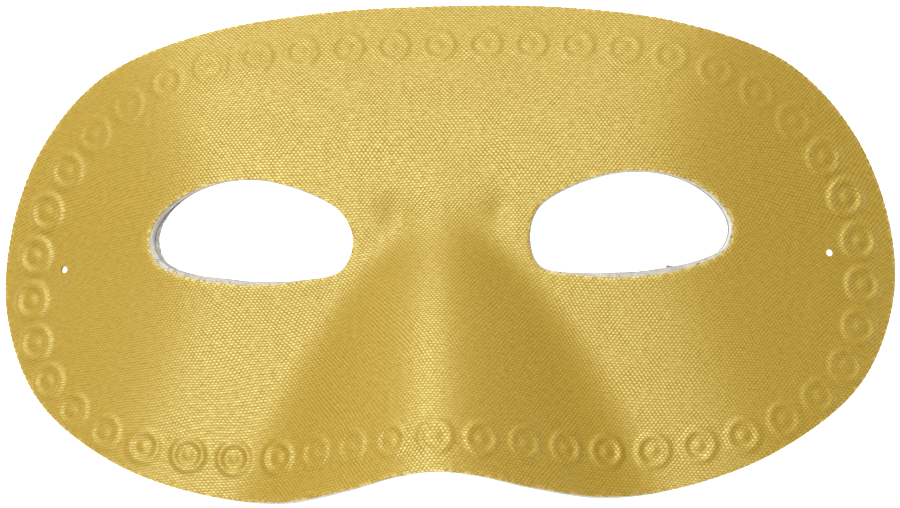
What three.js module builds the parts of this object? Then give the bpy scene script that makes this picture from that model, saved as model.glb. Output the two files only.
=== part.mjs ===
// A pressed half mask for a masquerade, lying face up.
// It is three sheets laid on each other: a gold satin cover embossed with a chain of rings,
// a white felt core and a thin grey lining behind.
// The sheets share one outline, two eye openings and two string holes, all die-cut through.
import * as THREE from 'three';

// Driving dimensions, in millimetres.
// The mask's own frame: X along the eyes, Y up to the forehead, Z out of the face, 0 at the brow.

// Right half of the outline, from the top of the nose arch round to the middle of the forehead.
const HALF_OUTLINE = [
  [0, -46.7], [8, -47.5], [20, -50.3], [35, -52.5], [52, -50.5], [72, -43], [89.5, -29.3],
  [97.3, -11.5], [97.2, 5.5], [90, 25.3], [76, 40.8], [52.8, 49.8], [27, 54], [0, 55],
];

// Right eye opening, anticlockwise from its outer corner.
const EYE_OUTLINE = [
  [63, 4.7], [60.9, 9.5], [55.1, 14.1], [47.2, 16.7], [38, 16.8], [28, 13.9], [21.2, 9.5],
  [19, 3.5], [22, -2.6], [31.5, -5.4], [46.2, -5.4], [57.1, -2.6], [61.4, 0],
];

// Right half of the line that the ring centres follow, from the nose to the forehead.
const HALF_RING_PATH = [
  [0, -39.4], [18.7, -41.1], [35.2, -43], [54.3, -42], [72.7, -36.7], [86.4, -25.3],
  [90.9, -6.9], [87.3, 12.3], [75.8, 29], [59.7, 39.2], [39.6, 44.2], [0, 45.9],
];
const RING_COUNT = 48;

// One embossed ring: radius from its centre and height above the satin, from the middle outwards.
const RING_CENTRE_HEIGHT = 0.35;
const RING_CIRCLES = [
  { radius: 1.9, height: 0.02 },
  { radius: 3.05, height: 0.55 },
  { radius: 4.15, height: 0 },
];
const RING_SIDES = 10;
const RING_MARGIN = 1.1;

const STRING_HOLE = { x: 83.7, y: -0.6, radius: 0.75, sides: 8 };

// The middle of the face is nearly flat, and two side panels slope back from a soft bend.
// The bend is closest in beside the eyes and flares outwards above and below them.
const SIDE_PANEL = { slope: 0.44, bendX: 49, bendSoftness: 5.6 };
const BEND_FLARE = { eyeY: 5, below: 0.36, above: 0.22, softness: 8 };
// Above the brow line the face arches back.
const FOREHEAD = { browY: 8, curvature: 0.009 };
// The nose is bell-shaped across. Its ridge climbs steeply over the bridge, then gently down to the arch,
// while its foot widens with the square root of the distance from its top.
const NOSE = {
  topY: 5,
  topSoftness: 3,
  topReach: 1.5,
  bridgeSlope: 0.85,
  ridgeStart: 8.8,
  ridgeSlope: 0.28,
  spread: 6.4,
};
// A shallow hollow beside the bridge of the nose, at each inner corner of the eyes.
const DIMPLE = { x: 11.3, y: 9.6, radius: 3.4, depth: 0.9 };

// The sheets, from the face inwards.
const GLUE_LINE = 0.25;
const SHEETS = [
  { name: 'satin_cover', thickness: 0.4, color: 0xcfae5c, roughness: 0.42, metalness: 0.35 },
  { name: 'felt_core', thickness: 1.4, color: 0xe9e6de, roughness: 0.95, metalness: 0 },
  { name: 'back_lining', thickness: 0.45, color: 0x9b9890, roughness: 0.95, metalness: 0 },
];

// Lying on its back the mask rests on both side rims, with its forehead raised a little.
const REST_TILT_DEG = 3.8;

// Spacing of the points that the sheets are drawn through.
const OUTLINE_STEP = 4.4;
const EYE_STEP = 3;
const NET_STEP = 7;
const NOSE_NET_STEP = 4.6;
const NOSE_NET = { halfWidth: 40, top: 18 };
const EDGE_CLEARANCE = 0.62;

// Heights of the pressed face.

const softRamp = (value, softness) => softness * Math.log1p(Math.exp(value / softness));

function sideDrop(x, y) {
  const { slope, bendX, bendSoftness } = SIDE_PANEL;
  const { eyeY, below, above, softness } = BEND_FLARE;
  const flare = below * softRamp(eyeY - y, softness) + above * softRamp(y - eyeY, softness);
  return slope * softRamp(Math.abs(x) - bendX - flare, bendSoftness);
}

function foreheadDrop(y) {
  const above = Math.max(0, y - FOREHEAD.browY);
  return 0.5 * FOREHEAD.curvature * above * above;
}

function noseRise(x, y) {
  const down = softRamp(NOSE.topY - y, NOSE.topSoftness);
  const bridge = NOSE.bridgeSlope * down;
  const ridge = NOSE.ridgeStart + NOSE.ridgeSlope * down;
  const crest = (bridge * ridge) / Math.cbrt(bridge ** 3 + ridge ** 3);
  const foot = NOSE.spread * Math.sqrt(down + NOSE.topReach);
  const share = Math.min(Math.abs(x) / foot, 1);
  return crest * Math.cos(0.5 * Math.PI * share) ** 2;
}

function dimpleDrop(x, y) {
  const reach = Math.hypot(Math.abs(x) - DIMPLE.x, y - DIMPLE.y) / DIMPLE.radius;
  return DIMPLE.depth * Math.exp(-reach * reach);
}

function faceHeight(x, y) {
  return noseRise(x, y) - sideDrop(x, y) - foreheadDrop(y) - dimpleDrop(x, y);
}

function faceNormal(x, y) {
  const step = 0.05;
  const slopeX = (faceHeight(x + step, y) - faceHeight(x - step, y)) / (2 * step);
  const slopeY = (faceHeight(x, y + step) - faceHeight(x, y - step)) / (2 * step);
  return new THREE.Vector3(-slopeX, -slopeY, 1).normalize();
}

// A point on the face, raised or sunk along the face's normal.
function facePoint({ x, y }, offset) {
  const surface = new THREE.Vector3(x, y, faceHeight(x, y));
  return surface.addScaledVector(faceNormal(x, y), offset);
}

// Outlines in plan.

const mirrored = ([x, y]) => [-x, y];

// Both halves of a line that starts and ends on the axis of symmetry, anticlockwise.
function closeHalf(half) {
  const inner = half.slice(1, -1);
  return [...half, ...inner.reverse().map(mirrored)];
}

function smoothLoop(corners, step) {
  const points = corners.map(([x, y]) => new THREE.Vector3(x, y, 0));
  const curve = new THREE.CatmullRomCurve3(points, true, 'centripetal');
  const count = Math.round(curve.getLength() / step);
  return curve.getSpacedPoints(count).slice(0, count).map(({ x, y }) => ({ x, y }));
}

function circleLoop({ x, y, radius, sides }) {
  return Array.from({ length: sides }, (_, i) => {
    const angle = (2 * Math.PI * i) / sides;
    return { x: x + radius * Math.cos(angle), y: y + radius * Math.sin(angle) };
  });
}

// Holes run clockwise, so that the sheet is always on the left of its edge.
function makeLoops() {
  const outline = smoothLoop(closeHalf(HALF_OUTLINE), OUTLINE_STEP);
  const rightEye = smoothLoop(EYE_OUTLINE, EYE_STEP);
  const leftEye = smoothLoop(EYE_OUTLINE.map(mirrored), EYE_STEP);
  const rightHole = circleLoop(STRING_HOLE);
  const leftHole = circleLoop({ ...STRING_HOLE, x: -STRING_HOLE.x });
  return [outline, rightEye.reverse(), leftEye, rightHole.reverse(), leftHole.reverse()];
}

function isInside(point, loop) {
  let inside = false;
  loop.forEach((a, i) => {
    const b = loop[(i + 1) % loop.length];
    const crosses = a.y > point.y !== b.y > point.y;
    if (crosses && point.x < a.x + ((b.x - a.x) * (point.y - a.y)) / (b.y - a.y)) {
      inside = !inside;
    }
  });
  return inside;
}

function isOnSheet(point, [outline, ...holes]) {
  return isInside(point, outline) && !holes.some((hole) => isInside(point, hole));
}

const distance = (a, b) => Math.hypot(a.x - b.x, a.y - b.y);

// The chain of rings.

function makeRingCentres() {
  const path = closeHalf(HALF_RING_PATH).map(([x, y]) => facePoint({ x, y }, 0));
  const curve = new THREE.CatmullRomCurve3(path, true, 'centripetal');
  return curve.getSpacedPoints(RING_COUNT).slice(0, RING_COUNT);
}

// The circles are drawn in the plane that touches the face at the ring's centre.
function makeRingPoints(centre) {
  const normal = faceNormal(centre.x, centre.y);
  const across = new THREE.Vector3(1, 0, 0).cross(normal).normalize();
  const along = normal.clone().cross(across);
  const points = [{ x: centre.x, y: centre.y, height: RING_CENTRE_HEIGHT }];
  RING_CIRCLES.forEach(({ radius, height }, row) => {
    for (let i = 0; i < RING_SIDES; i += 1) {
      const angle = (2 * Math.PI * (i + 0.5 * row)) / RING_SIDES;
      const x = centre.x + radius * (Math.cos(angle) * along.x + Math.sin(angle) * across.x);
      const y = centre.y + radius * (Math.cos(angle) * along.y + Math.sin(angle) * across.y);
      points.push({ x, y, height });
    }
  });
  return points;
}

// Points inside the sheet: a net of triangles, closer together on the nose.

function netPoints(step, accepts) {
  const rowStep = step * Math.sin(Math.PI / 3);
  const reachX = HALF_OUTLINE.reduce((most, [x]) => Math.max(most, x), 0);
  const reachY = HALF_OUTLINE[HALF_OUTLINE.length - 1][1];
  const points = [];
  for (let row = -Math.ceil(reachY / rowStep); row * rowStep <= reachY; row += 1) {
    const shift = row % 2 === 0 ? 0 : 0.5;
    for (let i = 0; (i + shift) * step <= reachX; i += 1) {
      const point = { x: (i + shift) * step, y: row * rowStep };
      if (accepts(point)) {
        points.push(point);
        if (point.x > 0) points.push({ x: -point.x, y: point.y });
      }
    }
  }
  return points;
}

const isOnNose = ({ x, y }) => Math.abs(x) < NOSE_NET.halfWidth && y < NOSE_NET.top;

function makeNet(loops, ringCentres) {
  const ringReach = RING_CIRCLES[RING_CIRCLES.length - 1].radius + RING_MARGIN;
  const isFree = (point, step) => isOnSheet(point, loops)
    && loops.flat().every((edge) => distance(edge, point) > EDGE_CLEARANCE * step)
    && ringCentres.every((centre) => distance(centre, point) > ringReach);
  return [
    ...netPoints(NOSE_NET_STEP, (p) => isOnNose(p) && isFree(p, NOSE_NET_STEP)),
    ...netPoints(NET_STEP, (p) => !isOnNose(p) && isFree(p, NET_STEP)),
  ];
}

// Joins points in plan into triangles, each with no other point inside its circle.
function triangulate(points) {
  const far = 1e4;
  const all = [...points, { x: -far, y: -far }, { x: far, y: -far }, { x: 0, y: far }];
  const withCircle = (a, b, c) => {
    const ab = { x: all[b].x - all[a].x, y: all[b].y - all[a].y };
    const ac = { x: all[c].x - all[a].x, y: all[c].y - all[a].y };
    const area = 2 * (ab.x * ac.y - ab.y * ac.x);
    const lengthAB = ab.x ** 2 + ab.y ** 2;
    const lengthAC = ac.x ** 2 + ac.y ** 2;
    const x = (ac.y * lengthAB - ab.y * lengthAC) / area;
    const y = (ab.x * lengthAC - ac.x * lengthAB) / area;
    return { corners: [a, b, c], x: all[a].x + x, y: all[a].y + y, radius: Math.hypot(x, y) };
  };
  const tolerance = 1e-7;
  const start = points.length;
  let triangles = [withCircle(start, start + 1, start + 2)];
  points.forEach((point, index) => {
    const rim = new Map();
    triangles = triangles.filter((triangle) => {
      if (distance(triangle, point) > triangle.radius - tolerance) return true;
      triangle.corners.forEach((from, i) => {
        const to = triangle.corners[(i + 1) % 3];
        if (!rim.delete(`${to},${from}`)) rim.set(`${from},${to}`, [from, to]);
      });
      return false;
    });
    rim.forEach(([from, to]) => triangles.push(withCircle(from, to, index)));
  });
  return triangles.map(({ corners }) => corners).filter((corners) => Math.max(...corners) < start);
}

// The triangles of a sheet: those whose middle isn't in a hole or outside the outline.
function makeFaces(points, loops) {
  return triangulate(points).filter((corners) => {
    const x = corners.reduce((sum, i) => sum + points[i].x, 0) / 3;
    const y = corners.reduce((sum, i) => sum + points[i].y, 0) / 3;
    return isOnSheet({ x, y }, loops);
  });
}

// A closed sheet between a front net and a back net, which share the edge points they start with.
function makeSheet(front, back, loops) {
  const vertices = [...front.points, ...back.points];
  const firstBack = front.points.length;
  const triangles = front.faces.map((corners) => [...corners]);
  back.faces.forEach(([a, b, c]) => triangles.push([a + firstBack, c + firstBack, b + firstBack]));
  let first = 0;
  loops.forEach(({ length }) => {
    for (let i = 0; i < length; i += 1) {
      const a = first + i;
      const b = first + ((i + 1) % length);
      triangles.push([a, a + firstBack, b + firstBack], [a, b + firstBack, b]);
    }
    first += length;
  });
  const geometry = new THREE.BufferGeometry();
  geometry.setAttribute('position', new THREE.Float32BufferAttribute(vertices.flatMap((v) => v.toArray()), 3));
  geometry.setIndex(triangles.flat());
  geometry.computeVertexNormals();
  return geometry;
}

function makeMask() {
  const loops = makeLoops();
  const ringCentres = makeRingCentres();
  const edge = loops.flat();
  const plain = [...edge, ...makeNet(loops, [])];
  const embossed = [...edge, ...ringCentres.flatMap(makeRingPoints), ...makeNet(loops, ringCentres)];
  const plainFaces = makeFaces(plain, loops);
  const embossedFaces = makeFaces(embossed, loops);
  const plainAt = (depth) => ({ points: plain.map((p) => facePoint(p, -depth)), faces: plainFaces });
  const embossedTop = { points: embossed.map((p) => facePoint(p, p.height ?? 0)), faces: embossedFaces };

  const mask = new THREE.Group();
  let depth = 0;
  SHEETS.forEach(({ name, thickness, color, roughness, metalness }, layer) => {
    const front = layer === 0 ? embossedTop : plainAt(depth);
    const back = plainAt(depth + thickness);
    const material = new THREE.MeshStandardMaterial({ color, roughness, metalness });
    const sheet = new THREE.Mesh(makeSheet(front, back, loops), material);
    sheet.name = name;
    mask.add(sheet);
    depth += thickness + GLUE_LINE;
  });
  return mask;
}

// The origin is under the middle of the lying mask, on the surface that it lies on.
function layDown(mask) {
  mask.rotation.x = THREE.MathUtils.degToRad(REST_TILT_DEG);
  const box = new THREE.Box3().setFromObject(mask, true);
  const middle = box.getCenter(new THREE.Vector3());
  mask.position.set(-middle.x, -middle.y, -box.min.z);
  return mask;
}

const object = new THREE.Group();
object.add(layDown(makeMask()));

export default object;
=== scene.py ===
"""A pressed half mask for a masquerade: gold satin on white felt, lined with grey fleece.

The sheets are made as in the workshop: a flat blank is die-cut, pressed in the mould and thickened.
Shape numbers are in millimetres, in the mask's own frame: X along the eyes, Y up to the forehead
and Z out of the face. "Left" and "right" are those of someone who looks at its front.
"""

import math
import random

import bpy
import numpy as np
from mathutils import Matrix, Vector, noise


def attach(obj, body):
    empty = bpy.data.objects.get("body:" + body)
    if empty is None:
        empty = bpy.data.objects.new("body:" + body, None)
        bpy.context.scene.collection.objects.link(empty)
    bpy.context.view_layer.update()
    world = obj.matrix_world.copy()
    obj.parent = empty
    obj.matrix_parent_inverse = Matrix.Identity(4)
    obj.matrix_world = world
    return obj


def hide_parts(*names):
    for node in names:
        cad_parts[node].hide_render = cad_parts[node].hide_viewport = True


bl_info = {
    "name": "Masquerade mask",
    "version": (1, 0, 0),
    "blender": (4, 5, 0),
    "location": "3D View > Sidebar > Mask",
    "description": "Dresses a pressed half mask in satin, felt and lining",
    "category": "Object",
}

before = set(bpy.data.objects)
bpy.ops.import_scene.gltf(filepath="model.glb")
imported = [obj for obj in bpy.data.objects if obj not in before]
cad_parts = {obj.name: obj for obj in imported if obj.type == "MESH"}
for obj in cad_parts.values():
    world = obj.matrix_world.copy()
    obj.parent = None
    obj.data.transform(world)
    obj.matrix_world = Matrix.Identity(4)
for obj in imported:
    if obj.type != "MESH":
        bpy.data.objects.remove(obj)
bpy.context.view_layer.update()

MM = 0.001

# The die: right half of the outline, from the top of the nose arch to the middle of the forehead.
HALF_OUTLINE = [
    (0, -46.7), (8, -47.5), (20, -50.3), (35, -52.5), (52, -50.5), (72, -43), (89.5, -29.3),
    (97.3, -11.5), (97.2, 5.5), (90, 25.3), (76, 40.8), (52.8, 49.8), (27, 54), (0, 55),
]
# The right eye opening, anticlockwise from its outer corner.
EYE_OUTLINE = [
    (63, 4.7), (60.9, 9.5), (55.1, 14.1), (47.2, 16.7), (38, 16.8), (28, 13.9), (21.2, 9.5),
    (19, 3.5), (22, -2.6), (31.5, -5.4), (46.2, -5.4), (57.1, -2.6), (61.4, 0),
]
STRING_HOLE = {"x": 83.7, "y": -0.6, "radius": 0.75}
# The punch tears the soft sheets a little wider, by this times the root of their depth.
HOLE_SPREAD = 0.4
# The rim under the nose is trimmed: how far for each mm of depth, how wide, and below which height.
NOSE_TRIM, NOSE_TRIM_WIDTH, NOSE_TRIM_Y, NOSE_TRIM_SOFTNESS = 1.3, 30, -20, 4

# How the eyes were cut off their line: direction and spread as seen from the eye's middle, in degrees
# from the outer corner upwards, and width in mm, into the opening or, below nought, out of it.
EYE_MIDDLE = (40, 3)
# All three sheets, at the inner corners.
RIGHT_EYE_CUT = ((196, 12, -0.85), (178, 14, 0.4))
LEFT_EYE_CUT = ((196, 12, -0.8), (180, 14, -0.35))
# The felt, whose lip shows below the satin; the lining keeps close behind it.
RIGHT_EYE_LIP = ((322, 34, 0.9), (256, 50, 0.95), (90, 40, -0.1), *RIGHT_EYE_CUT)
LEFT_EYE_LIP = ((316, 32, 1.0), (256, 45, 0.6), (85, 35, -0.35), (8, 35, -0.3), *LEFT_EYE_CUT)
RIGHT_LINING_LIP = ((280, 75, 0.34),)
LEFT_LINING_LIP = ((280, 60, 0.3),)
# At the left eye's outer corner the satin is drawn back, and the lining is loose and ragged.
DRAWN_BACK_SATIN = ((4, 28, -0.6),)
LOOSE_LINING_LIP = ((2, 20, 0.6),)
LOOSE_LINING_RAGS, RAGS_PER_MM = 0.6, 1.3

# Right half of the line that the ring centres follow, from the nose to the forehead.
HALF_RING_PATH = [
    (0, -39.4), (18.7, -41.1), (35.2, -43), (54.3, -42), (72.7, -36.7), (86.4, -25.3),
    (90.9, -6.9), (87.3, 12.3), (75.8, 29), (59.7, 39.2), (39.6, 44.2), (0, 45.9),
]
RING_COUNT = 48
RING_CREST_RADIUS = 3.15
RING_CREST_HALF_WIDTH = 1.3
RING_DOME_RADIUS = 1.8
# On the sides the chain has slipped down: by which share of a step, round which ring from the nose
# and over how many. There the rings are also wider, by this share.
RIGHT_SLIP, LEFT_SLIP = (0.235, 14.2, 4.6), (0.155, 12.8, 3.6)
RING_WIDENING = (0.16, 13.5, 4)
# Down the left side it lies nearer the edge: by how much, from where outwards.
LEFT_CHAIN_SHIFT, LEFT_CHAIN_X, LEFT_CHAIN_SOFTNESS = 0.6, -60, 4
# How deep the rings are pressed, against their usual height, by their number from the nose to the right.
RING_DEPTHS = (
    (0, 0.8), (1.5, 1.2), (3, 1.6), (5, 1.1), (8, 0.85), (10, 0.95), (12, 1.35), (14, 1.6),
    (16, 0.75), (18.5, 0.38), (21, 0.6), (25, 0.66), (28, 0.65), (31.5, 0.45), (34, 1.4),
    (36, 1.5), (38, 1.2), (40, 0.85), (42, 1.4), (44, 1.5), (46, 1.25), (48, 0.8),
)

# The mould: a nearly flat face, two side panels that slope back, an arched forehead and a nose.
SIDE_SLOPE, BEND_X, BEND_SOFTNESS = 0.44, 49, 5.6
FLARE_EYE_Y, FLARE_BELOW, FLARE_ABOVE, FLARE_SOFTNESS = 5, 0.36, 0.22, 8
BROW_Y, FOREHEAD_CURVATURE = 8, 0.009
NOSE_TOP_Y, NOSE_TOP_SOFTNESS, NOSE_TOP_REACH = 5, 3, 1.5
BRIDGE_SLOPE, RIDGE_START, RIDGE_SLOPE, NOSE_SPREAD = 0.85, 8.8, 0.28, 6.4
DIMPLE_X, DIMPLE_Y, DIMPLE_RADIUS, DIMPLE_DEPTH = 11.3, 9.6, 3.4, 0.9
# The mask is dented a little to the right of its middle.
DIMPLES_ASIDE = 2.1

# The satin: strips of its rolled edge, the low waves that the glue leaves, and a soft fold below the
# right string hole.
EDGE_STRIPS = (0.4, 0.3)
ROLL_DEPTH, ROLL_WIDTH = 0.2, 0.3
# Width of the band along the cut edges where glints of frayed threads are painted into the satin's
# colour.
FRAYED_GLINT_WIDTH = 0.6
WAVE_HEIGHT, WAVE_LENGTH, WAVELESS_RIM = 0.05, 11, 6
FOLD_HEIGHT, FOLD_WIDTH, FOLD_LEAN, FOLD_Y, FOLD_REACH = 0.1, 1.3, 0.24, -17, 14
# The layers of glue under the satin and, loose in places, over the lining.
SATIN_GLUE, LINING_GLUE = 0.02, 0.2
FELT_EDGE_RADIUS = 0.4

# The crosswise threads: their sag towards the sides, more at eye level, their climb over the nose,
# and the height from which they lie closer.
SAG, SAG_AT_EYES, SAG_EYE_Y, SAG_EYE_SPREAD = 0.9e-5, 0.68e-5, 2, 16
CLIMB, CLIMB_WIDTH, CLIMB_NARROWING, CLIMB_Y, CLIMB_SOFTNESS = 9.5, 17, 0.14, -2, 6
CLOSER_Y, CLOSENESS = 22, 0.0057

# Cells of the blanks, finer under the rings, and steps along the cutting rules.
BLANK_SIZE = (202, 114)
SATIN_CELL, RING_CUTS, BACK_CELL = 1.2, 2, 2.4
SATIN_STEP, FELT_STEP, LINING_STEP = 0.5, 0.8, 0.6
HOLE_POINTS, HOLE_STEP = 48, 0.3
RULE_HEIGHT = 6
WELD_DISTANCE = 0.08

# Lying down: the mask leans on both side rims, its forehead a little raised.
REST_TILT = math.radians(3.8)
REST_PLACE = (0, -1.2265, 22.33)
LAY_DOWN = Matrix.Translation(Vector(REST_PLACE) * MM) @ Matrix.Rotation(REST_TILT, 4, "X")

# The photograph's camera, turned from straight above the mask and kept at arm's length.
CAMERA_YAW = math.radians(4.06)
CAMERA_PITCH = math.radians(4.24)
CAMERA_ROLL = math.radians(-0.98)
CAMERA_DISTANCE = 0.75
CAMERA_SIDE_STEP = 0.0023
CAMERA_LENS = 140.06


# Sizes and colours that a user would change.


LENGTH = {"precision": 5, "unit": "LENGTH", "subtype": "DISTANCE"}


class MaskSizes(bpy.types.PropertyGroup):
    """Thickness of each sheet, height of the embossing and spacing of the threads."""

    satin_thickness: bpy.props.FloatProperty(
        name="Satin thickness", description="Thickness of the gold satin with its glue",
        default=0.00036, min=0.0001, max=0.001, **LENGTH,
    )
    felt_thickness: bpy.props.FloatProperty(
        name="Felt thickness", description="Thickness of the stiffened felt in the middle",
        default=0.00172, min=0.0005, max=0.0018, **LENGTH,
    )
    lining_thickness: bpy.props.FloatProperty(
        name="Lining thickness", description="Thickness of the grey lining behind",
        default=0.00045, min=0.0001, max=0.001, **LENGTH,
    )
    ring_height: bpy.props.FloatProperty(
        name="Ring height", description="Height of an embossed ring's crest above the satin",
        default=0.00036, min=0.0, max=0.0006, **LENGTH,
    )
    dome_height: bpy.props.FloatProperty(
        name="Ring middle height", description="Height of the dome in the middle of each ring",
        default=0.0003, min=0.0, max=0.0006, **LENGTH,
    )
    warp_pitch: bpy.props.FloatProperty(
        name="Warp pitch", description="Distance between two upright threads, as drawn",
        default=0.00044, min=0.0001, max=0.002, **LENGTH,
    )
    weft_pitch: bpy.props.FloatProperty(
        name="Weft pitch", description="Distance between two crosswise threads, as drawn",
        default=0.00058, min=0.0001, max=0.002, **LENGTH,
    )
    thread_count: bpy.props.IntProperty(
        name="Loose threads", description="Number of gold thread ends that stand out of the cut edges",
        default=150, min=0, max=400,
    )


class MaskColours(bpy.types.PropertyGroup):
    """Colours as sRGB hex values."""

    weft: bpy.props.StringProperty(
        name="Weft", description="Bright metallised thread that runs across", default="#C8A120"
    )
    warp: bpy.props.StringProperty(
        name="Warp", description="Darker thread that runs upright", default="#A0780D"
    )
    felt: bpy.props.StringProperty(name="Felt", description="White felt core", default="#D0CCC2")
    lining: bpy.props.StringProperty(name="Lining", description="Grey lining", default="#ACA9A0")
    table: bpy.props.StringProperty(name="Table", description="Studio table", default="#FFFFFF")


# Shape of the pressed face, for arrays of x and y in millimetres.


def soft_ramp(value, softness):
    return softness * np.logaddexp(0, value / softness)


def bell(value, size, middle, spread):
    return size * np.exp(-(((value - middle) / spread) ** 2))


def fade_above(value, middle, softness):
    """One below the middle, nought above it."""
    return 1 / (1 + np.exp((value - middle) / softness))


def side_drop(x, y):
    flare = FLARE_BELOW * soft_ramp(FLARE_EYE_Y - y, FLARE_SOFTNESS)
    flare = flare + FLARE_ABOVE * soft_ramp(y - FLARE_EYE_Y, FLARE_SOFTNESS)
    return SIDE_SLOPE * soft_ramp(np.abs(x) - BEND_X - flare, BEND_SOFTNESS)


def nose_rise(x, y):
    """A steep bridge, then a gently rising ridge, on a rounded section that widens downwards."""
    down = soft_ramp(NOSE_TOP_Y - y, NOSE_TOP_SOFTNESS)
    bridge = BRIDGE_SLOPE * down
    ridge = RIDGE_START + RIDGE_SLOPE * down
    crest = bridge * ridge / np.cbrt(bridge ** 3 + ridge ** 3)
    share = np.minimum(np.abs(x) / (NOSE_SPREAD * np.sqrt(down + NOSE_TOP_REACH)), 1)
    return crest * np.cos(0.5 * math.pi * share) ** 2


def face_height(x, y):
    forehead = 0.5 * FOREHEAD_CURVATURE * np.maximum(0, y - BROW_Y) ** 2
    reach = np.hypot(np.abs(x - DIMPLES_ASIDE) - DIMPLE_X, y - DIMPLE_Y) / DIMPLE_RADIUS
    dimple = DIMPLE_DEPTH * np.exp(-reach * reach)
    return nose_rise(x, y) - side_drop(x, y) - forehead - dimple


def slope_across(x, y, step=0.05):
    return (face_height(x + step, y) - face_height(x - step, y)) / (2 * step)


def face_normals(x, y, step=0.05):
    slope_x = slope_across(x, y, step)
    slope_y = (face_height(x, y + step) - face_height(x, y - step)) / (2 * step)
    normals = np.column_stack([-slope_x, -slope_y, np.ones_like(slope_x)])
    return normals / np.linalg.norm(normals, axis=1, keepdims=True)


# Lines in plan.


def close_half(half):
    """Both halves of a line that starts and ends on the axis of symmetry."""
    return list(half) + [(-x, y) for x, y in half[-2:0:-1]]


def smooth_loop(corners, per_span=60):
    """A closed, smooth line through the corners: a centripetal spline, as close points."""
    points = np.array(corners, float)
    before, start, end, after = (np.roll(points, shift, axis=0) for shift in (1, 0, -1, -2))
    knots = [np.zeros(len(points))]
    for a, b in ((before, start), (start, end), (end, after)):
        knots.append(knots[-1] + np.sqrt(np.linalg.norm(b - a, axis=1)))
    share = np.arange(per_span) / per_span
    at = (knots[1][:, None] + (knots[2] - knots[1])[:, None] * share)[..., None]
    t0, t1, t2, t3 = (knot[:, None, None] for knot in knots)
    p0, p1, p2, p3 = (p[:, None, :] for p in (before, start, end, after))

    def between(a, b, from_t, to_t):
        return ((to_t - at) * a + (at - from_t) * b) / (to_t - from_t)

    a1, a2, a3 = between(p0, p1, t0, t1), between(p1, p2, t1, t2), between(p2, p3, t2, t3)
    b1, b2 = between(a1, a2, t0, t2), between(a2, a3, t1, t3)
    return between(b1, b2, t1, t2).reshape(-1, points.shape[1])


def loop_length(line):
    return np.linalg.norm(np.roll(line, -1, axis=0) - line, axis=1).sum()


def equal_steps(line, count):
    """Points at equal distances round a closed line."""
    closed = np.vstack([line, line[:1]])
    run = np.concatenate([[0], np.cumsum(np.linalg.norm(np.diff(closed, axis=0), axis=1))])
    at = np.linspace(0, run[-1], count, endpoint=False)
    return np.column_stack([np.interp(at, run, column) for column in closed.T])


def circle_line(x, y, radius):
    angles = np.arange(HOLE_POINTS) * 2 * math.pi / HOLE_POINTS
    return np.column_stack([x + radius * np.cos(angles), y + radius * np.sin(angles)])


def die_lines(depth=0.0):
    """The cutting lines of a sheet: the outline, two eyes and two string holes, all anticlockwise.

    The string holes are punched straight down after pressing, and the rim under the nose is trimmed so.
    In a deeper sheet these cuts are therefore moved, against the lean of the face.
    """
    outline = smooth_loop(close_half(HALF_OUTLINE))
    under_nose = bell(outline[:, 0], 1, 0, NOSE_TRIM_WIDTH)
    under_nose /= 1 + np.exp((outline[:, 1] - NOSE_TRIM_Y) / NOSE_TRIM_SOFTNESS)
    outline += NOSE_TRIM * depth * face_normals(*outline.T)[:, :2] * under_nose[:, None]
    right_eye = smooth_loop(EYE_OUTLINE)
    left_eye = (right_eye * (-1, 1))[::-1]
    x, y = STRING_HOLE["x"], STRING_HOLE["y"]
    lean = face_normals(np.array([x]), np.array([y]))[0]
    radius = STRING_HOLE["radius"] + HOLE_SPREAD * math.sqrt(depth)
    holes = [
        circle_line(side * (x + depth * lean[0]), y + depth * lean[1], radius)
        for side in (1, -1)
    ]
    return [outline, right_eye, left_eye, *holes]


def cloth_side(line, is_hole):
    """Unit vectors across an anticlockwise line, towards the cloth."""
    along = np.roll(line, -1, axis=0) - np.roll(line, 1, axis=0)
    across = np.column_stack([-along[:, 1], along[:, 0]])
    across /= np.linalg.norm(across, axis=1, keepdims=True)
    return -across if is_hole else across


def with_lip(line, spots, ragged=0.0):
    """An eye's cutting line moved into the opening by a lip, or back from it, smoothly or in rags."""
    around = np.degrees(np.arctan2(line[:, 1] - EYE_MIDDLE[1], np.abs(line[:, 0]) - EYE_MIDDLE[0]))
    width = np.zeros(len(line))
    for direction, spread, size in spots:
        off = (around - direction + 180) % 360 - 180
        width += bell(off, size, 0, spread)
    rags = np.array([noise.noise((RAGS_PER_MM * x, RAGS_PER_MM * y, 7.0)) for x, y in line])
    width *= 1 + ragged * rags
    return line - width[:, None] * cloth_side(line, True)


def inside(points, line):
    """Which points lie inside a closed line."""
    result = np.zeros(len(points), bool)
    x, y = points[:, 0], points[:, 1]
    for (ax, ay), (bx, by) in zip(line, np.roll(line, -1, axis=0)):
        if ay != by:
            crosses = ((ay > y) != (by > y)) & (x < ax + (bx - ax) * (y - ay) / (by - ay))
            result ^= crosses
    return result


def nearest_on(line, points):
    """For each point, the index of the nearest point of a line, and how far away it is."""
    index = np.zeros(len(points), int)
    gap = np.zeros(len(points))
    portion = 4000
    for first in range(0, len(points), portion):
        part = slice(first, first + portion)
        squares = ((points[part, None, :] - line[None]) ** 2).sum(axis=2)
        index[part] = squares.argmin(axis=1)
        gap[part] = np.sqrt(squares.min(axis=1))
    return index, gap


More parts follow.
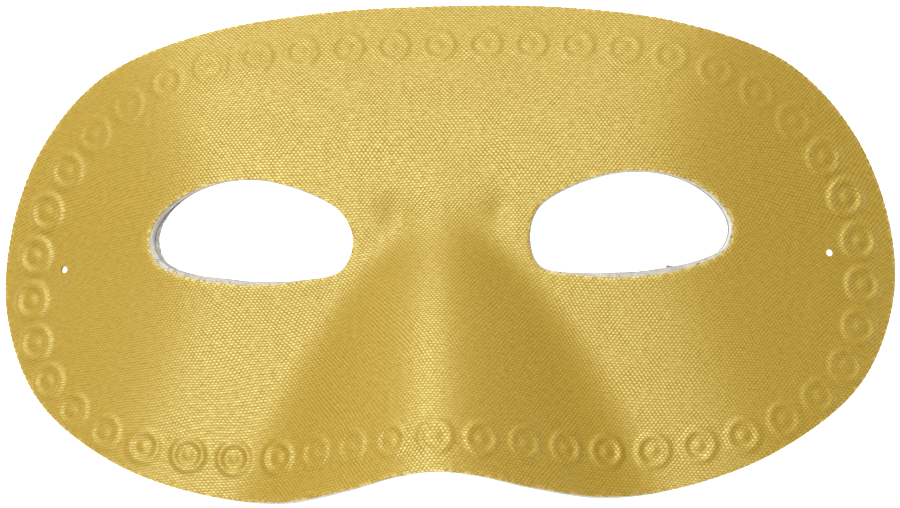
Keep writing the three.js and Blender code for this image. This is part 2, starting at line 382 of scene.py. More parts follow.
def ring_centres():
    """Centres of the rings: evenly spaced, but slipped down on both sides."""
    path = np.array(close_half(HALF_RING_PATH), float)
    lifted = np.column_stack([path, face_height(path[:, 0], path[:, 1])])
    per_step = 100
    fine = equal_steps(smooth_loop(lifted), RING_COUNT * per_step)
    number = np.arange(RING_COUNT)
    from_nose = np.minimum(number, RING_COUNT - number)
    slip = np.where(number < RING_COUNT / 2, bell(from_nose, *RIGHT_SLIP), -bell(from_nose, *LEFT_SLIP))
    centres = fine[np.rint(per_step * (number - slip)).astype(int), :2]
    centres[:, 0] -= LEFT_CHAIN_SHIFT * fade_above(centres[:, 0], LEFT_CHAIN_X, LEFT_CHAIN_SOFTNESS)
    return centres


def ring_distances(points):
    """Distance of each point from the nearest ring centre on the sloping face, and that ring's number."""
    nearest = np.full(len(points), np.inf)
    number = np.zeros(len(points), int)
    centres = ring_centres()
    for index, ((x, y), (nx, ny, nz)) in enumerate(zip(centres, face_normals(*centres.T))):
        dx, dy = points[:, 0] - x, points[:, 1] - y
        dz = -(nx * dx + ny * dy) / nz
        gap = np.sqrt(dx * dx + dy * dy + dz * dz)
        number[gap < nearest] = index
        nearest = np.minimum(nearest, gap)
    return nearest, number


def ring_relief(points, crest_height, dome_height):
    """Embossing above the face: a rounded crest round a small dome, a little wider on the sides."""
    gap, number = ring_distances(points)
    depth = np.interp(number, *np.transpose(RING_DEPTHS))
    from_nose = np.minimum(number, RING_COUNT - number)
    gap /= 1 + bell(from_nose, *RING_WIDENING)
    from_crest = np.minimum(np.abs(gap - RING_CREST_RADIUS) / RING_CREST_HALF_WIDTH, 1)
    crest = crest_height * np.cos(0.5 * math.pi * from_crest) ** 2
    dome = dome_height * np.cos(0.5 * math.pi * np.minimum(gap / RING_DOME_RADIUS, 1)) ** 2
    return depth * (crest + dome)


# Cutting and pressing a sheet.


def deselect_everything():
    if bpy.context.object and bpy.context.object.mode != "OBJECT":
        bpy.ops.object.mode_set(mode="OBJECT")
    bpy.ops.object.select_all(action="DESELECT")


def make_active(piece):
    deselect_everything()
    piece.select_set(True)
    bpy.context.view_layer.objects.active = piece


def read_vectors(items, name):
    flat = np.empty(len(items) * 3)
    items.foreach_get(name, flat)
    return flat.reshape(-1, 3)


def vertex_array(mesh):
    return read_vectors(mesh.vertices, "co")


def face_middles(mesh):
    """A point within each face, in plan, also of a hollow one: the middle of its largest triangle."""
    mesh.calc_loop_triangles()
    corners = np.empty(len(mesh.loop_triangles) * 3, int)
    owners = np.empty(len(mesh.loop_triangles), int)
    mesh.loop_triangles.foreach_get("vertices", corners)
    mesh.loop_triangles.foreach_get("polygon_index", owners)
    a, b, c = (vertex_array(mesh)[corners.reshape(-1, 3)[:, i]] for i in range(3))
    area = np.linalg.norm(np.cross(b - a, c - a), axis=1)
    order = np.argsort(area, kind="stable")
    middles = np.zeros((len(mesh.polygons), 2))
    middles[owners[order]] = ((a + b + c) / 3)[order, :2]
    return middles


def set_vertices(mesh, places):
    mesh.vertices.foreach_set("co", np.ascontiguousarray(places, float).ravel())
    mesh.update()


def select_faces(piece, chosen):
    """Enters edit mode with only the chosen faces selected."""
    bpy.ops.object.mode_set(mode="EDIT")
    bpy.ops.mesh.select_mode(type="FACE")
    bpy.ops.mesh.select_all(action="DESELECT")
    bpy.ops.object.mode_set(mode="OBJECT")
    piece.data.polygons.foreach_set("select", chosen)
    bpy.ops.object.mode_set(mode="EDIT")


def add_cutting_rule(line, step):
    """A steel rule bent along a line: a circle pulled onto it and extruded upright."""
    count = max(24, round(loop_length(line) / step))
    deselect_everything()
    bpy.ops.mesh.primitive_circle_add(vertices=count, radius=1, fill_type="NOTHING")
    rule = bpy.context.object
    places = np.column_stack([equal_steps(line, count), np.full(count, -0.5 * RULE_HEIGHT)])
    set_vertices(rule.data, places)
    bpy.ops.object.mode_set(mode="EDIT")
    bpy.ops.mesh.select_mode(type="VERT")
    bpy.ops.mesh.select_all(action="SELECT")
    bpy.ops.mesh.extrude_region_move(TRANSFORM_OT_translate={"value": (0, 0, RULE_HEIGHT)})
    bpy.ops.object.mode_set(mode="OBJECT")
    return rule


def add_blank(name, cell):
    """A flat rectangle of cloth in square cells, larger than the die.

    It lies a little off the middle, so that no row of cells runs along a cutting rule.
    """
    across, upright = (math.ceil(side / cell) for side in BLANK_SIZE)
    deselect_everything()
    bpy.ops.mesh.primitive_grid_add(
        x_subdivisions=across, y_subdivisions=upright, size=1, location=(0.013, 1.207, 0)
    )
    blank = bpy.context.object
    blank.name = blank.data.name = name
    blank.scale = (across * cell, upright * cell, 1)
    bpy.ops.object.transform_apply(location=True, rotation=False, scale=True)
    return blank


def die_cut(blank, lines, step):
    """Presses the rules through the blank and lifts the waste off."""
    rules = [add_cutting_rule(line, step if len(line) > HOLE_POINTS else HOLE_STEP) for line in lines]
    make_active(blank)
    for rule in rules:
        rule.select_set(True)
    bpy.ops.object.join()
    mesh = blank.data
    select_faces(blank, [abs(face.normal.z) < 0.5 for face in mesh.polygons])
    bpy.ops.mesh.intersect(mode="SELECT_UNSELECT", separate_mode="CUT", threshold=1e-6, solver="EXACT")
    bpy.ops.object.mode_set(mode="OBJECT")
    middles = face_middles(mesh)
    upright = np.array([abs(face.normal.z) < 0.5 for face in mesh.polygons])
    keep = inside(middles, lines[0]) & ~upright
    for hole in lines[1:]:
        keep &= ~inside(middles, hole)
    select_faces(blank, ~keep)
    bpy.ops.mesh.delete(type="FACE")
    bpy.ops.mesh.select_all(action="SELECT")
    bpy.ops.mesh.remove_doubles(threshold=WELD_DISTANCE)
    bpy.ops.object.mode_set(mode="OBJECT")
    return blank


def refine_under_rings(sheet, cuts):
    """Gives the cloth finer cells where the rings are embossed, and a little round them."""
    reach = (1 + RING_WIDENING[0]) * (RING_CREST_RADIUS + RING_CREST_HALF_WIDTH) + 0.3
    centres = read_vectors(sheet.data.polygons, "center")
    make_active(sheet)
    select_faces(sheet, ring_distances(centres[:, :2])[0] < reach)
    bpy.ops.mesh.subdivide(number_cuts=cuts)
    bpy.ops.object.mode_set(mode="OBJECT")


def widen_to(sheet, lines, step_out):
    """Extrudes the rim outwards in plan, by one strip of cells, towards the cutting lines."""
    make_active(sheet)
    bpy.ops.object.mode_set(mode="EDIT")
    bpy.ops.mesh.select_mode(type="EDGE")
    bpy.ops.mesh.select_all(action="DESELECT")
    bpy.ops.mesh.select_non_manifold(
        extend=False, use_wire=False, use_boundary=True,
        use_multi_face=False, use_non_contiguous=False, use_verts=False,
    )
    bpy.ops.mesh.extrude_edges_move(TRANSFORM_OT_translate={"value": (0, 0, 0)})
    bpy.ops.object.mode_set(mode="OBJECT")
    chosen = np.array([vertex.select for vertex in sheet.data.vertices])
    places = vertex_array(sheet.data)
    rim = places[chosen][:, :2]
    best = np.full(len(rim), np.inf)
    moved = rim.copy()
    for number, line in enumerate(lines):
        index, gap = nearest_on(line, rim)
        outwards = -cloth_side(line, number > 0)[index]
        closer = gap < best
        moved[closer] = (rim + step_out * outwards)[closer]
        best = np.minimum(best, gap)
    places[chosen, :2] = moved
    set_vertices(sheet.data, places)


def edge_distances(points, lines):
    """Distance of each point from the nearest cut edge, taking every fourth point of each line."""
    return np.minimum.reduce([nearest_on(line[::4], points)[1] for line in lines])


def press(sheet, offsets):
    """Presses a flat sheet in the mould, each point offset along the face's normal, and lays it down."""
    flat = vertex_array(sheet.data)[:, :2]
    normals = face_normals(flat[:, 0], flat[:, 1])
    places = np.column_stack([flat, face_height(flat[:, 0], flat[:, 1])])
    places += normals * np.asarray(offsets)[:, None]
    set_vertices(sheet.data, places * MM)
    sheet.data.transform(LAY_DOWN)
    sheet.data.update()


def thicken(sheet, thickness, edge_radius=0.0):
    """Gives a sheet its thickness on the side away from the face, and may round its cut edges."""
    make_active(sheet)
    wall = sheet.modifiers.new("thickness", "SOLIDIFY")
    wall.thickness = thickness
    wall.offset = -1
    wall.use_rim = True
    wall.use_quality_normals = True
    bpy.ops.object.modifier_apply(modifier=wall.name)
    if edge_radius:
        bevel = sheet.modifiers.new("cut edge", "BEVEL")
        bevel.width = edge_radius
        bevel.segments = 2
        bevel.limit_method = "ANGLE"
        bevel.angle_limit = math.radians(60)
        bpy.ops.object.modifier_apply(modifier=bevel.name)


def finish_surface(piece, material):
    """Smooth shading but for sharp edges, and one material all over."""
    make_active(piece)
    bpy.ops.object.shade_smooth_by_angle(angle=math.radians(60))
    piece.data.materials.clear()
    piece.data.materials.append(material)


# The lie of the threads.


def stretched_across(x, y):
    """Length of thread between the middle of the mask and each point, along the pressed face."""
    step_x, step_y, lowest = 0.5, 2.0, -58
    columns = np.arange(0, 101, step_x)
    rows = np.arange(lowest, -lowest + step_y, step_y)
    slope = slope_across(*np.meshgrid(columns + 0.5 * step_x, rows))
    run = np.cumsum(step_x * np.sqrt(1 + slope * slope), axis=1)
    run = np.hstack([np.zeros((len(rows), 1)), run[:, :-1]])
    column = np.clip(np.abs(x) / step_x, 0, len(columns) - 1.001)
    row = np.clip((y - lowest) / step_y, 0, len(rows) - 1.001)
    i, j = column.astype(int), row.astype(int)
    u, v = column - i, row - j
    low = run[j, i] * (1 - u) + run[j, i + 1] * u
    high = run[j + 1, i] * (1 - u) + run[j + 1, i + 1] * u
    return np.sign(x) * (low * (1 - v) + high * v)


def stretched_upright(x, y):
    """Distance across the crosswise threads.

    Pressing pulls them into bows: they sag towards the sides and climb over the nose.
    Near the top edge the cloth is less stretched, so its threads lie closer.
    """
    sag = np.abs(x) ** 3 * (SAG + bell(y, SAG_AT_EYES, SAG_EYE_Y, SAG_EYE_SPREAD))
    climb = bell(x, CLIMB, 0, CLIMB_WIDTH - CLIMB_NARROWING * y) * fade_above(y, CLIMB_Y, CLIMB_SOFTNESS)
    level = y + sag - climb
    close = np.maximum(0, level - CLOSER_Y)
    return level + CLOSENESS * close * close


def lay_threads(sheet):
    """Unwraps the flat sheet: U along the crosswise threads and V across them, in metres of cloth."""
    flat = vertex_array(sheet.data)
    u = stretched_across(flat[:, 0], flat[:, 1]) * MM
    v = stretched_upright(flat[:, 0], flat[:, 1]) * MM
    layer = sheet.data.uv_layers.active or sheet.data.uv_layers.new(name="threads")
    layer.name = "threads"
    corners = np.empty(len(sheet.data.loops), int)
    sheet.data.loops.foreach_get("vertex_index", corners)
    layer.data.foreach_set("uv", np.column_stack([u[corners], v[corners]]).ravel())


# Materials.


# Spots where the satin is pulled flat: middle, inner and outer radius in metres, and how flat it is.
PULLED_SPOTS = (
    ((0.003, -0.031, 0.037), 0.006, 0.016, 0.35),
    ((-0.046, -0.038, 0.014), 0.009, 0.026, 0.55),
)


def linear(hex_colour):
    """An sRGB hex value as linear red, green, blue and alpha."""
    parts = [int(hex_colour.lstrip("#")[i:i + 2], 16) / 255 for i in (0, 2, 4)]
    return (*(p / 12.92 if p <= 0.04045 else ((p + 0.055) / 1.055) ** 2.4 for p in parts), 1.0)


def per_metre(size):
    """The scale of a pattern whose features are this many millimetres in size."""
    return 1 / (size * MM)


def new_material(name):
    """An empty material; returns it with its node tree and the place of each point on the mask."""
    material = bpy.data.materials.new(name)
    material.use_nodes = True
    tree = material.node_tree
    tree.nodes.clear()
    return material, tree, add_node(tree, "ShaderNodeTexCoord")["Object"]


def add_node(tree, kind, inputs=None, **settings):
    """Adds a node and returns its outputs. An input given as a socket is linked, any other is set."""
    node = tree.nodes.new(kind)
    for key, value in settings.items():
        setattr(node, key, value)
    for key, value in (inputs or {}).items():
        if isinstance(value, bpy.types.NodeSocket):
            tree.links.new(value, node.inputs[key])
        else:
            node.inputs[key].default_value = value
    return node.outputs


def with_surface(material, inputs):
    """The material, finished with a shader that has these inputs."""
    shader = add_node(material.node_tree, "ShaderNodeBsdfPrincipled", inputs)
    add_node(material.node_tree, "ShaderNodeOutputMaterial", {"Surface": shader[0]})
    return material


def woven_gold_satin(sizes, colours):
    """Woven polyester satin with a metallised weft, pressed hot.

    To the eye: bright flat threads run across, darker ones bind them in a staggered check,
    and a wide soft gleam lies where the cloth faces the light.
    The real threads are too fine for the picture, so they are drawn two or three times as coarse.
    """
    material, tree, place = new_material("woven gold satin")
    threads = add_node(tree, "ShaderNodeUVMap", uv_map="threads")["UV"]

    # The threads wander a little from spot to spot, and more over wide patches.
    wander = add_node(tree, "ShaderNodeTexNoise", {"Vector": place, "Scale": per_metre(3.846)})["Color"]
    shift = add_node(
        tree, "ShaderNodeVectorMath", {0: wander, 1: (0.5, 0.5, 0.5)}, operation="SUBTRACT"
    )[0]
    pull = add_node(
        tree, "ShaderNodeTexNoise", {"Vector": place, "Scale": per_metre(11.11), "Detail": 0}
    )["Color"]
    bent = threads
    for drift, most in ((shift, (0.55 * MM, 0.22 * MM, 0)), (pull, (1.2 * MM, 1.6 * MM, 0))):
        bent = add_node(
            tree, "ShaderNodeVectorMath", {0: drift, 1: most, 2: bent}, operation="MULTIPLY_ADD"
        )[0]
    parts = add_node(tree, "ShaderNodeSeparateXYZ", {"Vector": bent})

    # Warp and weft as waves, one half wave to each thread. Their sum and difference are the two diagonals
    # of a plain weave; where the cloth is pulled askew, one diagonal shows more than the other.
    warp, weft = (
        add_node(tree, "ShaderNodeMath", {0: parts[axis], 1: math.pi / pitch}, operation="MULTIPLY")[0]
        for axis, pitch in (("X", sizes.warp_pitch), ("Y", sizes.weft_pitch))
    )
    askew = add_node(
        tree, "ShaderNodeTexNoise", {"Vector": place, "Scale": per_metre(16.67), "Detail": 1}
    )["Fac"]
    share = add_node(
        tree, "ShaderNodeMapRange",
        {"Value": askew, "From Min": 0.4, "From Max": 0.6, "To Min": 0.42, "To Max": 0.6},
    )[0]
    rest = add_node(tree, "ShaderNodeMath", {0: 1.0, 1: share}, operation="SUBTRACT")[0]
    diagonals = []
    for operation, weight in (("ADD", share), ("SUBTRACT", rest)):
        phase = add_node(tree, "ShaderNodeMath", {0: warp, 1: weft}, operation=operation)[0]
        wave = add_node(tree, "ShaderNodeMath", {0: phase}, operation="COSINE")[0]
        diagonals.append(
            add_node(tree, "ShaderNodeMath", {0: wave, 1: weight}, operation="MULTIPLY")[0]
        )
    check = add_node(
        tree, "ShaderNodeMath", {0: diagonals[0], 1: diagonals[1]}, operation="SUBTRACT"
    )[0]

    # The crosswise lines between the weft threads, less the mean of such a wave.
    wave = add_node(tree, "ShaderNodeMath", {0: weft}, operation="SINE")[0]
    swell = add_node(tree, "ShaderNodeMath", {0: wave}, operation="ABSOLUTE")[0]
    lines = add_node(tree, "ShaderNodeMath", {0: swell, 1: 0.64}, operation="SUBTRACT")[0]

    # Some patches of cloth show the check more than others. Down the left side, on the tip of the nose
    # and at the lower left the cloth is pulled flat, so that little but the lines is left.
    patches = add_node(
        tree, "ShaderNodeTexNoise", {"Vector": place, "Scale": per_metre(5.263), "Detail": 1}
    )["Fac"]
    patch = add_node(
        tree, "ShaderNodeMapRange",
        {"Value": patches, "From Min": 0.4, "From Max": 0.6, "To Min": 0.36, "To Max": 0.58},
    )[0]
    pulled = add_node(
        tree, "ShaderNodeMapRange",
        {"Value": parts["X"], "From Min": -0.068, "From Max": -0.05, "To Min": 0.7, "To Max": 0},
    )[0]
    for spot, near, far, amount in PULLED_SPOTS:
        away = add_node(
            tree, "ShaderNodeVectorMath", {0: place, 1: spot}, operation="DISTANCE"
        )["Value"]
        here = add_node(
            tree, "ShaderNodeMapRange",
            {"Value": away, "From Min": near, "From Max": far, "To Min": amount, "To Max": 0},
        )[0]
        pulled = add_node(tree, "ShaderNodeMath", {0: pulled, 1: here}, operation="MAXIMUM")[0]
    kept = add_node(tree, "ShaderNodeMath", {0: 1.0, 1: pulled}, operation="SUBTRACT")[0]
    patch = add_node(tree, "ShaderNodeMath", {0: patch, 1: kept}, operation="MULTIPLY")[0]
    raised = add_node(tree, "ShaderNodeMath", {0: patch, 1: 0.9}, operation="MULTIPLY")[0]
    relief = add_node(
        tree, "ShaderNodeMath", {0: check, 1: raised, 2: lines}, operation="MULTIPLY_ADD"
    )[0]

    # Single threads are brighter or duller than their neighbours: streaks 1.4 mm long and 0.6 mm wide.
    stretch = add_node(
        tree, "ShaderNodeMapping", {"Vector": bent, "Scale": (per_metre(1.4286), per_metre(0.58824), 1)}
    )[0]
    streaks = add_node(tree, "ShaderNodeTexNoise", {"Vector": stretch, "Scale": 1.0})["Fac"]
    rows = add_node(tree, "ShaderNodeMath", {0: lines, 1: 0.5}, operation="MULTIPLY")[0]
    woven = add_node(tree, "ShaderNodeMath", {0: check, 1: patch, 2: rows}, operation="MULTIPLY_ADD")[0]
    centred = add_node(tree, "ShaderNodeMath", {0: streaks, 1: 0.5}, operation="SUBTRACT")[0]
    height = add_node(tree, "ShaderNodeMath", {0: woven, 1: centred}, operation="ADD")[0]
    tone = add_node(tree, "ShaderNodeMath", {0: height, 1: 0.6, 2: 0.53}, operation="MULTIPLY_ADD")[0]
    # High threads are smooth lacquered film. Between them the film is duller, and its metal shows.
    dullness, metal = (
        add_node(
            tree, "ShaderNodeMapRange",
            {"Value": height, "From Min": -0.5, "From Max": 0.5, "To Min": low, "To Max": high},
        )[0]
        for low, high in ((0.86, 0.5), (0.4, 0.0))
    )
    cloth = add_node(
        tree, "ShaderNodeMix",
        {"Factor": tone, 6: linear(colours.warp), 7: linear(colours.weft)},
        data_type="RGBA", clamp_factor=True,
    )[2]

    # Along the cut edges, bright spots 0.9 mm apart are painted into the colour: painted glints of the
    # frayed thread ends.
    edge = add_node(tree, "ShaderNodeAttribute", attribute_name="frayed")["Fac"]
    ends = add_node(
        tree, "ShaderNodeTexNoise", {"Vector": place, "Scale": per_metre(0.9091), "Detail": 1}
    )["Fac"]
    painted_glints = add_node(
        tree, "ShaderNodeMapRange",
        {"Value": ends, "From Min": 0.47, "From Max": 0.6, "To Max": 0.6},
    )[0]
    frayed = add_node(tree, "ShaderNodeMath", {0: edge, 1: painted_glints}, operation="MULTIPLY")[0]
    # The painted glints are a pale gold, mixed into the cloth's colour.
    colour = add_node(
        tree, "ShaderNodeMix", {"Factor": frayed, 6: cloth, 7: linear("#F2D983")}, data_type="RGBA"
    )[2]

    bump = add_node(tree, "ShaderNodeBump", {"Height": relief, "Distance": 0.045 * MM})[0]
    along = add_node(tree, "ShaderNodeTangent", direction_type="UV_MAP", uv_map="threads")[0]
    # Polyester has an IOR of 1.64; the metal under its lacquer throws back more, here as a higher IOR.
    # The metal also gilds the gleam, which in the photo is a greenish gold.
    return with_surface(material, {
        "Base Color": colour, "Metallic": metal, "Roughness": dullness, "IOR": 1.88,
        "Specular IOR Level": 1.0, "Specular Tint": (0.76, 1.0, 0.66, 1.0),
        "Anisotropic": 0.45, "Anisotropic Rotation": 0.25, "Normal": bump, "Tangent": along,
    })


def needled_white_felt(colours):
    """Needle-punched polyester felt, stiffened with starch and die-cut.

    To the eye: a matt off-white edge with fine fibres pressed flat in uneven layers.
    """
    material, tree, place = new_material("needled white felt")
    fibres = add_node(
        tree, "ShaderNodeTexNoise",
        {"Vector": place, "Scale": per_metre(0.38462), "Detail": 4, "Roughness": 0.65},
    )["Fac"]
    blotches = add_node(
        tree, "ShaderNodeTexNoise", {"Vector": place, "Scale": per_metre(2.381), "Detail": 3}
    )["Fac"]
    mixed = add_node(tree, "ShaderNodeMath", {0: fibres, 1: blotches}, operation="ADD")[0]
    shade = add_node(
        tree, "ShaderNodeMapRange", {"Value": mixed, "From Min": 0.7, "From Max": 1.3}
    )[0]
    colour = add_node(
        tree, "ShaderNodeMix",
        {"Factor": shade, 6: linear("#A29D91"), 7: linear(colours.felt)}, data_type="RGBA",
    )[2]
    bump = add_node(
        tree, "ShaderNodeBump", {"Height": mixed, "Strength": 0.8, "Distance": 0.12 * MM}
    )[0]
    return with_surface(material, {
        "Base Color": colour, "Roughness": 0.95, "Sheen Weight": 0.7, "Sheen Roughness": 0.6,
        "Normal": bump,
    })


def bonded_grey_lining(colours):
    """Thin bonded fleece, glued on by hot rollers.

    To the eye: a dull grey skin, slightly mottled, with short fibres lying every way.
    """
    material, tree, place = new_material("bonded grey lining")
    fibres = add_node(
        tree, "ShaderNodeTexVoronoi",
        {"Vector": place, "Scale": per_metre(1.1111)}, feature="DISTANCE_TO_EDGE",
    )["Distance"]
    mottle = add_node(
        tree, "ShaderNodeTexNoise",
        {"Vector": place, "Scale": per_metre(1.4286), "Detail": 5, "Roughness": 0.7},
    )["Fac"]
    thread_shade = add_node(
        tree, "ShaderNodeMapRange", {"Value": fibres, "From Max": 0.12, "To Min": 0.35, "To Max": 0}
    )[0]
    shade = add_node(tree, "ShaderNodeMath", {0: mottle, 1: thread_shade}, operation="ADD")[0]
    colour = add_node(
        tree, "ShaderNodeMix",
        {"Factor": shade, 6: linear("#67645D"), 7: linear(colours.lining)}, data_type="RGBA",
    )[2]
    bump = add_node(tree, "ShaderNodeBump", {"Height": shade, "Strength": 0.7, "Distance": 0.1 * MM})[0]
    return with_surface(
        material, {"Base Color": colour, "Roughness": 0.9, "Sheen Weight": 0.2, "Normal": bump}
    )


def slit_gold_film(colours):
    """Ends of the metallised weft: slit polyester film, lacquered gold.

    To the eye: short bright hairs that glint on one side, browner where they are bent.
    """
    material, tree, place = new_material("slit gold film")
    dulled = add_node(
        tree, "ShaderNodeTexNoise", {"Vector": place, "Scale": per_metre(0.66667), "Detail": 1}
    )["Fac"]
    colour = add_node(
        tree, "ShaderNodeMix",
        {"Factor": dulled, 6: linear(colours.warp), 7: linear("#F2D372")}, data_type="RGBA",
    )[2]
    return with_surface(
        material, {"Base Color": colour, "Metallic": 0.3, "Roughness": 0.38, "IOR": 1.64}
    )


def matt_white_table(colours):
    """Translucent white acrylic, sanded matt and lit a little from below.

    To the eye: a shadowless white ground.
    """
    material, tree, place = new_material("matt white acrylic")
    haze = add_node(tree, "ShaderNodeTexNoise", {"Vector": place, "Scale": per_metre(333.3)})["Fac"]
    colour = add_node(
        tree, "ShaderNodeMix",
        {"Factor": haze, 6: linear("#F6F6F6"), 7: linear(colours.table)}, data_type="RGBA",
    )[2]
    return with_surface(material, {
        "Base Color": colour, "Roughness": 0.6,
        "Emission Color": (1, 1, 1, 1), "Emission Strength": 1,
    })


# The pieces.


class MASK_OT_satin_cover(bpy.types.Operator):
    """Cut, emboss and press the gold satin cover"""

    bl_idname = "mask.satin_cover"
    bl_label = "Satin cover"

    def execute(self, context):
        sizes, colours = context.scene.mask_sizes, context.scene.mask_colours
        lines = die_lines()
        lines[1] = with_lip(lines[1], RIGHT_EYE_CUT)
        lines[2] = with_lip(lines[2], LEFT_EYE_CUT + DRAWN_BACK_SATIN)
        inner = [
            line + sum(EDGE_STRIPS) * cloth_side(line, number > 0)
            for number, line in enumerate(lines)
        ]
        sheet = die_cut(add_blank("satin_cover_cloth", SATIN_CELL), inner, SATIN_STEP)
        refine_under_rings(sheet, RING_CUTS)
        for strip in EDGE_STRIPS:
            widen_to(sheet, lines, strip)
        lay_threads(sheet)

        flat = vertex_array(sheet.data)[:, :2]
        relief = ring_relief(flat, sizes.ring_height / MM, sizes.dome_height / MM)
        from_edge = edge_distances(flat, lines[:3])
        roll = bell(from_edge, ROLL_DEPTH, 0, ROLL_WIDTH)
        waves = np.array([noise.noise((x / WAVE_LENGTH, y / WAVE_LENGTH, 0.4)) for x, y in flat])
        waves *= WAVE_HEIGHT * np.minimum(from_edge / WAVELESS_RIM, 1)
        from_fold = flat[:, 0] - STRING_HOLE["x"] - FOLD_LEAN * (flat[:, 1] - STRING_HOLE["y"])
        fold = bell(from_fold, FOLD_HEIGHT, 0, FOLD_WIDTH)
        fold *= np.exp(-(((flat[:, 1] - FOLD_Y) / FOLD_REACH) ** 4))
        press(sheet, relief - roll + waves + fold)
        # The band along the cut edges that gets painted glints in the satin's colour.
        frayed = sheet.data.attributes.new("frayed", "FLOAT", "POINT")
        frayed.data.foreach_set("value", bell(from_edge, 1, 0, FRAYED_GLINT_WIDTH))
        thicken(sheet, sizes.satin_thickness)
        finish_surface(sheet, woven_gold_satin(sizes, colours))
        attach(sheet, "root")
        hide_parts("satin_cover")
        return {"FINISHED"}


class MASK_OT_felt_core(bpy.types.Operator):
    """Cut and press the white felt core"""

    bl_idname = "mask.felt_core"
    bl_label = "Felt core"

    def execute(self, context):
        sizes, colours = context.scene.mask_sizes, context.scene.mask_colours
        front = sizes.satin_thickness / MM + SATIN_GLUE
        lines = die_lines(front + 0.5 * sizes.felt_thickness / MM)
        lines[1:3] = with_lip(lines[1], RIGHT_EYE_LIP), with_lip(lines[2], LEFT_EYE_LIP)
        sheet = die_cut(add_blank("felt_core_sheet", BACK_CELL), lines, FELT_STEP)
        press(sheet, np.full(len(sheet.data.vertices), -front))
        thicken(sheet, sizes.felt_thickness, FELT_EDGE_RADIUS * MM)
        finish_surface(sheet, needled_white_felt(colours))
        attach(sheet, "root")
        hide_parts("felt_core")
        return {"FINISHED"}


class MASK_OT_back_lining(bpy.types.Operator):
    """Cut and press the grey lining, a little loose at one eye"""

    bl_idname = "mask.back_lining"
    bl_label = "Back lining"

    def execute(self, context):
        sizes, colours = context.scene.mask_sizes, context.scene.mask_colours
        front = (sizes.satin_thickness + sizes.felt_thickness) / MM + LINING_GLUE
        lines = die_lines(front + 0.5 * sizes.lining_thickness / MM)
        lines[1] = with_lip(lines[1], RIGHT_EYE_LIP + RIGHT_LINING_LIP)
        lines[2] = with_lip(lines[2], LEFT_EYE_LIP + LEFT_LINING_LIP)
        lines[2] = with_lip(lines[2], LOOSE_LINING_LIP, LOOSE_LINING_RAGS)
        sheet = die_cut(add_blank("back_lining_sheet", BACK_CELL), lines, LINING_STEP)
        press(sheet, np.full(len(sheet.data.vertices), -front))
        thicken(sheet, sizes.lining_thickness)
        finish_surface(sheet, bonded_grey_lining(colours))
        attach(sheet, "root")
        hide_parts("back_lining")
        return {"FINISHED"}


class MASK_OT_loose_threads(bpy.types.Operator):
    """Add the gold thread ends that stand out of the satin's cut edges"""

    bl_idname = "mask.loose_threads"
    bl_label = "Loose threads"

    def execute(self, context):
        sizes, colours = context.scene.mask_sizes, context.scene.mask_colours
        pattern = self.one_end()
        chance = random.Random(5)
        ends = [self.lay_end(pattern, *spot, chance) for spot in self.spots(sizes.thread_count, chance)]
        make_active(pattern)
        bpy.ops.object.delete()
        make_active(ends[0])
        for end in ends:
            end.select_set(True)
        bpy.ops.object.join()
        threads = bpy.context.object
        threads.name = threads.data.name = "satin_loose_threads"
        finish_surface(threads, slit_gold_film(colours))
        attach(threads, "root")
        return {"FINISHED"}

    @staticmethod
    def one_end():
        """One thread end in millimetres, modelled once: it leaves the cloth along Z and bends to X."""
        deselect_everything()
        bpy.ops.mesh.primitive_cylinder_add(
            vertices=5, radius=0.06, depth=0.3, location=(0, 0, 0), end_fill_type="NGON"
        )
        end = bpy.context.object
        select_faces(end, [face.normal.z > 0.9 for face in end.data.polygons])
        for bend, rise in ((0.04, 0.2), (0.1, 0.17), (0.15, 0.11)):
            bpy.ops.mesh.extrude_region_move(TRANSFORM_OT_translate={"value": (bend, 0, rise)})
        bpy.ops.object.mode_set(mode="OBJECT")
        return end

    @staticmethod
    def spots(count, chance):
        """Places along the cut edges, with the way out of the cloth: mostly where the edges are worn."""
        lines = die_lines()
        found = []
        while len(found) < count:
            number = chance.choice((0, 0, 1, 2))
            line = lines[number]
            index = chance.randrange(len(line))
            x, y = line[index]
            worn = y < -25 if number == 0 else y < 3 or abs(x) > 56
            if worn or chance.random() < 0.15:
                found.append((line[index], -cloth_side(line, number > 0)[index], number > 0))
        return found

    @staticmethod
    def lay_end(pattern, spot, outwards, in_eye, chance):
        """Copies the pattern, with its own mesh, to a spot on the rolled edge of the satin."""
        end = pattern.copy()
        end.data = pattern.data.copy()
        bpy.context.scene.collection.objects.link(end)
        normal = Vector(face_normals(spot[:1], spot[1:])[0])
        out = Vector((*outwards, 0))
        out = (out - out.dot(normal) * normal).normalized()
        along = normal.cross(out)
        # In the eyes an end points out of the cloth, on the outline it lies nearly along the edge.
        if in_eye:
            aside = math.radians(chance.uniform(-50, 50))
        else:
            aside = math.radians(chance.choice((-1, 1)) * chance.uniform(62, 86))
        lift = math.radians(chance.uniform(-8, 22))
        way = math.cos(lift) * (math.cos(aside) * out + math.sin(aside) * along) + math.sin(lift) * normal
        curl = way.cross(normal).normalized() * chance.choice((-1, 1))
        third = way.cross(curl)
        turn = Matrix((curl, third, way)).transposed().to_4x4()
        height = float(face_height(spot[:1], spot[1:])[0])
        foot = Vector((*spot, height)) - 0.2 * normal - 0.1 * out
        end.data.transform(Matrix.Translation(foot) @ turn @ Matrix.Scale(chance.uniform(0.55, 1.25), 4))
        end.data.transform(Matrix.Scale(MM, 4))
        end.data.transform(LAY_DOWN)
        return end


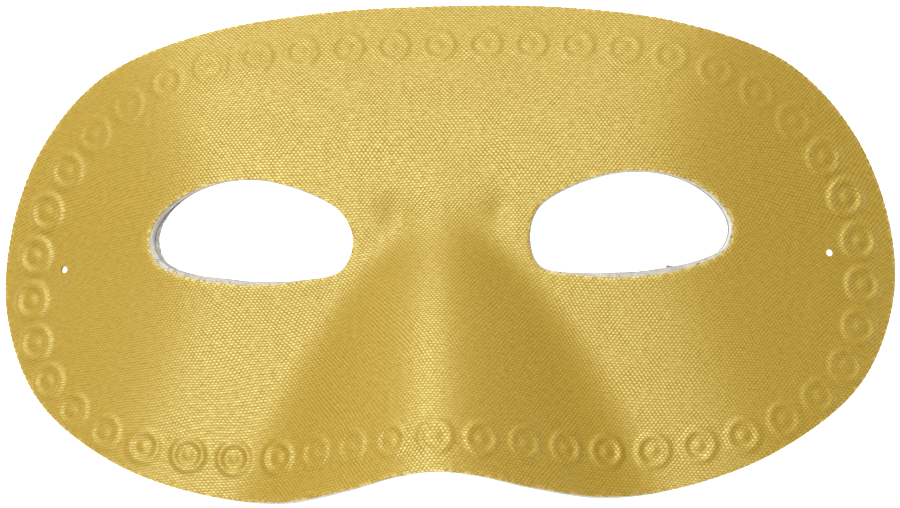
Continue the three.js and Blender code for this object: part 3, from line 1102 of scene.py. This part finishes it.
class MASK_OT_studio(bpy.types.Operator):
    """Add the white table, the soft lights and the camera"""

    bl_idname = "mask.studio"
    bl_label = "Studio"

    def execute(self, context):
        scene = context.scene
        deselect_everything()
        bpy.ops.mesh.primitive_plane_add(size=8, location=(0, 0, 0))
        table = context.object
        table.name = "studio_table"
        table.data.materials.append(matt_white_table(scene.mask_colours))

        # A key light from the upper left, a weak fill from the lower right and a little all round.
        self.add_softbox("key_softbox", (-0.3, 0.3, 1.35), 0.35, 22.8)
        self.add_softbox("fill_softbox", (0.35, -0.45, 1.2), 0.5, 1.8)

        world = bpy.data.worlds.new("white studio")
        world.use_nodes = True
        background = world.node_tree.nodes["Background"]
        background.inputs["Color"].default_value = (1, 1, 1, 1)
        background.inputs["Strength"].default_value = 0.14
        scene.world = world
        scene.view_settings.view_transform = "Standard"

        turn = Matrix.Rotation(REST_TILT, 4, "X") @ Matrix.Rotation(CAMERA_YAW, 4, "Y")
        turn = turn @ Matrix.Rotation(CAMERA_PITCH, 4, "X") @ Matrix.Rotation(CAMERA_ROLL, 4, "Z")
        lens = bpy.data.cameras.new("camera")
        lens.lens = CAMERA_LENS
        lens.clip_start, lens.clip_end = 0.01, 20
        camera = bpy.data.objects.new("camera", lens)
        scene.collection.objects.link(camera)
        back_off = Matrix.Translation((CAMERA_SIDE_STEP, 0, CAMERA_DISTANCE))
        camera.matrix_world = Matrix.Translation(Vector(REST_PLACE) * MM) @ turn @ back_off
        scene.camera = camera
        return {"FINISHED"}

    @staticmethod
    def add_softbox(name, place, size, power):
        light = bpy.data.lights.new(name, "AREA")
        light.shape = "SQUARE"
        light.size = size
        light.energy = power
        box = bpy.data.objects.new(name, light)
        box.location = place
        box.rotation_euler = (-Vector(place)).to_track_quat("-Z", "Y").to_euler()
        bpy.context.scene.collection.objects.link(box)


class MASK_PT_panel(bpy.types.Panel):
    """The mask's sizes, colours and making steps"""

    bl_label = "Masquerade mask"
    bl_idname = "MASK_PT_panel"
    bl_space_type = "VIEW_3D"
    bl_region_type = "UI"
    bl_category = "Mask"

    def draw(self, context):
        for group in (context.scene.mask_sizes, context.scene.mask_colours):
            box = self.layout.box()
            for name in group.bl_rna.properties.keys():
                if name not in ("rna_type", "name"):
                    box.prop(group, name)
        for operator in OPERATORS:
            self.layout.operator(operator.bl_idname)


OPERATORS = (
    MASK_OT_satin_cover,
    MASK_OT_felt_core,
    MASK_OT_back_lining,
    MASK_OT_loose_threads,
    MASK_OT_studio,
)
CLASSES = (MaskSizes, MaskColours, *OPERATORS, MASK_PT_panel)


def register():
    for cls in CLASSES:
        bpy.utils.register_class(cls)
    bpy.types.Scene.mask_sizes = bpy.props.PointerProperty(type=MaskSizes)
    bpy.types.Scene.mask_colours = bpy.props.PointerProperty(type=MaskColours)


def unregister():
    del bpy.types.Scene.mask_colours
    del bpy.types.Scene.mask_sizes
    for cls in reversed(CLASSES):
        bpy.utils.unregister_class(cls)


def main():
    register()
    bpy.ops.mask.satin_cover()
    bpy.ops.mask.felt_core()
    bpy.ops.mask.back_lining()
    bpy.ops.mask.loose_threads()
    bpy.ops.mask.studio()


if __name__ == "__main__":
    main()
